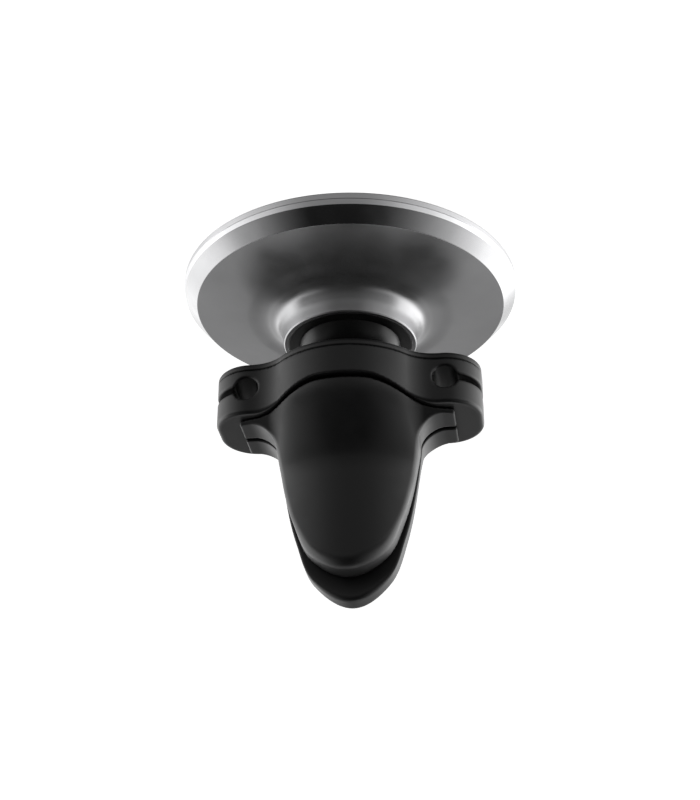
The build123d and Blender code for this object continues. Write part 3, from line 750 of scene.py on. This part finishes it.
def jaw(side):
    """One jaw. The lower one is made like the upper one and mirrored down."""
    low, high = box_mm(f"{side}_jaw")
    tip = high[1]
    top = max(abs(low[2]), abs(high[2]))
    solid = jaw_solid(tip, 0.5 if side == "lower" else 0.2)
    points, quads = skin(solid, (low[0], low[1], JAW_GAP), (high[0], tip, top), JAW_STEP)
    if side == "lower":
        points = points * (1, 1, -1)
        quads = quads[:, ::-1]
    return piece(
        f"{side}_tongue", points, quads, [soft_rubber()], f"{side}_arm", f"{side}_jaw"
    )


def dress_hidden_nodes():
    """Gives every CAD node that stays a finish of its own."""
    finishes = {
        "pad_adhesive": adhesive(),
        "front_plate": inner_plastic(),
        "magnet_tray": inner_plastic(),
        "head_screws": steel(),
        "yoke_ring": steel(),
        "disc_spring": steel(),
        "socket_seat": acetal(),
        "ball_liner": acetal(),
        "cover_screws": steel(),
        "stud_screw": steel(),
    }
    plate = nickel()
    finishes.update({f"magnet_{n}": plate for n in range(1, 7)})
    for side in ("upper", "lower"):
        finishes[f"{side}_jaw_core"] = inner_plastic()
        finishes[f"{side}_grip_pad"] = grip_rubber()
        finishes[f"{side}_jaw_pin"] = spring_steel()
        finishes[f"{side}_jaw_spring"] = spring_steel()
    for node, material in finishes.items():
        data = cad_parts[node].data
        data.materials.clear()
        data.materials.append(material)


# ================================================================ camera, floor and light
def camera():
    """The camera, behind and above the mount, turned so that its axis is upright."""
    tilt, turn = math.radians(61.58), math.radians(7.3)
    distance, across, along = 0.2038, 0.00005, -0.01385
    right = Vector((-math.cos(turn), 0, -math.sin(turn)))
    level = Vector((-math.sin(turn), 0, math.cos(turn)))
    axis = Vector((0, 1, 0))
    down = math.sin(tilt) * axis - math.cos(tilt) * level
    back = math.cos(tilt) * axis + math.sin(tilt) * level
    place = Vector((0, 0.6 * MM, 0)) + distance * back - across * right - along * down
    data = bpy.data.cameras.new("camera")
    data.lens = 72.0
    data.sensor_width = 36.0
    data.clip_start = 0.005
    made = bpy.data.objects.new("camera", data)
    turned_to = Matrix((right, -down, back)).transposed().to_4x4()
    turned_to.translation = place
    made.matrix_world = turned_to
    bpy.context.scene.collection.objects.link(made)
    bpy.context.scene.camera = made


def stage():
    """A plain pale floor, well below the mount."""
    material, _, shader, _ = new_material("floor")
    shader.inputs["Base Color"].default_value = (0.9, 0.9, 0.9, 1)
    shader.inputs["Roughness"].default_value = 0.9
    shader.inputs["Emission Color"].default_value = (1, 1, 1, 1)
    shader.inputs["Emission Strength"].default_value = 0.8
    half, level = 3.0, -0.10
    mesh = bpy.data.meshes.new("floor")
    corners = [(x * half, y * half, level) for x, y in ((-1, -1), (1, -1), (1, 1), (-1, 1))]
    mesh.from_pydata(corners, [], [(0, 1, 2, 3)])
    mesh.materials.append(material)
    floor = bpy.data.objects.new("floor", mesh)
    floor.visible_glossy = False
    bpy.context.scene.collection.objects.link(floor)


def surround():
    """Light by direction: boxes on both sides, light below, little above. The camera sees white."""
    world = bpy.data.worlds.new("studio")
    bpy.context.scene.world = world
    world.use_nodes = True
    nodes, links = world.node_tree.nodes, world.node_tree.links
    nodes.clear()

    def math_node(operation, *values):
        made = nodes.new("ShaderNodeMath")
        made.operation = operation
        for socket, value in zip(made.inputs, values):
            if isinstance(value, bpy.types.NodeSocket):
                links.new(value, socket)
            else:
                socket.default_value = value
        return made.outputs[0]

    def ramp(value, start, end, low, high):
        made = nodes.new("ShaderNodeMapRange")
        made.interpolation_type = "SMOOTHSTEP"
        links.new(value, made.inputs["Value"])
        numbers = {"From Min": start, "From Max": end, "To Min": low, "To Max": high}
        for key, number in numbers.items():
            made.inputs[key].default_value = number
        return made.outputs["Result"]

    def product(*factors):
        result = factors[0]
        for factor in factors[1:]:
            result = math_node("MULTIPLY", result, factor)
        return result

    def total(*terms):
        result = terms[0]
        for term in terms[1:]:
            result = math_node("ADD", result, term)
        return result

    direction = nodes.new("ShaderNodeTexCoord")
    split = nodes.new("ShaderNodeSeparateXYZ")
    links.new(direction.outputs["Generated"], split.inputs[0])
    x, y, z = split.outputs
    across = math_node("ABSOLUTE", x)

    # The tall boxes on both sides. The one on the -X side is brighter low down.
    reach = math_node("MAXIMUM", math_node("SUBTRACT", across, 0.33), 0.0)
    reach = math_node("DIVIDE", reach, 0.62)
    left = product(ramp(x, -0.05, 0.05, 0.0, 1.0), ramp(z, -0.4, -0.8, 1.0, 0.65))
    right = product(ramp(x, 0.05, -0.05, 0.0, 1.0), ramp(z, 0.0, -0.5, 1.0, 1.6))
    screen = product(
        ramp(z, 0.0, 0.25, 0.0, 0.85),
        ramp(y, -0.35, 0.05, 0.0, 1.0),
        ramp(y, 0.35, 0.6, 1.0, 0.0),
    )
    boxes = product(
        math_node("POWER", reach, 1.5),
        3.2,
        ramp(y, 0.25, 0.85, 1.0, 0.35),
        ramp(y, -0.5, -0.3, 0.65, 1.0),
        ramp(z, 0.0, 0.5, 1.0, 0.75),
        total(left, right),
        math_node("SUBTRACT", 1.0, screen),
    )

    # Two low lamps, which make the bright spots beside the hub.
    lamps = product(
        ramp(across, 0.32, 0.5, 0.0, 1.8),
        ramp(z, -0.5, -0.7, 0.0, 1.0),
        ramp(z, -0.88, -0.79, 0.1, 1.0),
        ramp(x, -0.1, 0.1, 0.8, 0.35),
        ramp(y, 0.45, 0.15, 0.0, 1.0),
        ramp(y, -0.45, -0.25, 0.0, 1.0),
    )

    # Light from below: in front, in the middle with a dim strip, and from behind.
    strip = math_node("ABSOLUTE", math_node("SUBTRACT", x, 0.11))
    under = total(
        product(ramp(z, -0.5, -0.9, 0.0, 1.1), ramp(y, 0.5, -0.3, 0.0, 1.0)),
        product(
            ramp(z, -0.3, -0.7, 0.0, 1.0),
            ramp(strip, 0.05, 0.20, 0.3, 1.0),
            ramp(y, 0.35, 0.7, 0.45, 0.85),
        ),
        product(ramp(y, 0.7, 0.85, 0.0, 1.2), ramp(z, -0.2, -0.45, 0.0, 1.0)),
    )

    # A weak light overhead, and the room's own light.
    over = product(ramp(z, 0.2, 0.8, 0.0, 1.0), ramp(y, 0.55, -0.3, 0.0, 0.32))
    light = total(boxes, lamps, under, over, 0.025)

    camera_ray = nodes.new("ShaderNodeLightPath").outputs["Is Camera Ray"]
    backdrop = nodes.new("ShaderNodeMix")
    links.new(camera_ray, backdrop.inputs["Factor"])
    links.new(light, backdrop.inputs["A"])
    backdrop.inputs["B"].default_value = 1.0
    shade = nodes.new("ShaderNodeBackground")
    links.new(backdrop.outputs["Result"], shade.inputs["Strength"])
    output = nodes.new("ShaderNodeOutputWorld")
    links.new(shade.outputs[0], output.inputs[0])
    bpy.context.scene.view_settings.view_transform = "Standard"


camera()
stage()
surround()
head_shell()
front_bezel()
contact_pad()
retaining_ring()
ball_stud()
collar()
cover()
jaw("upper")
jaw("lower")
dress_hidden_nodes()

bpy.context.view_layer.update()
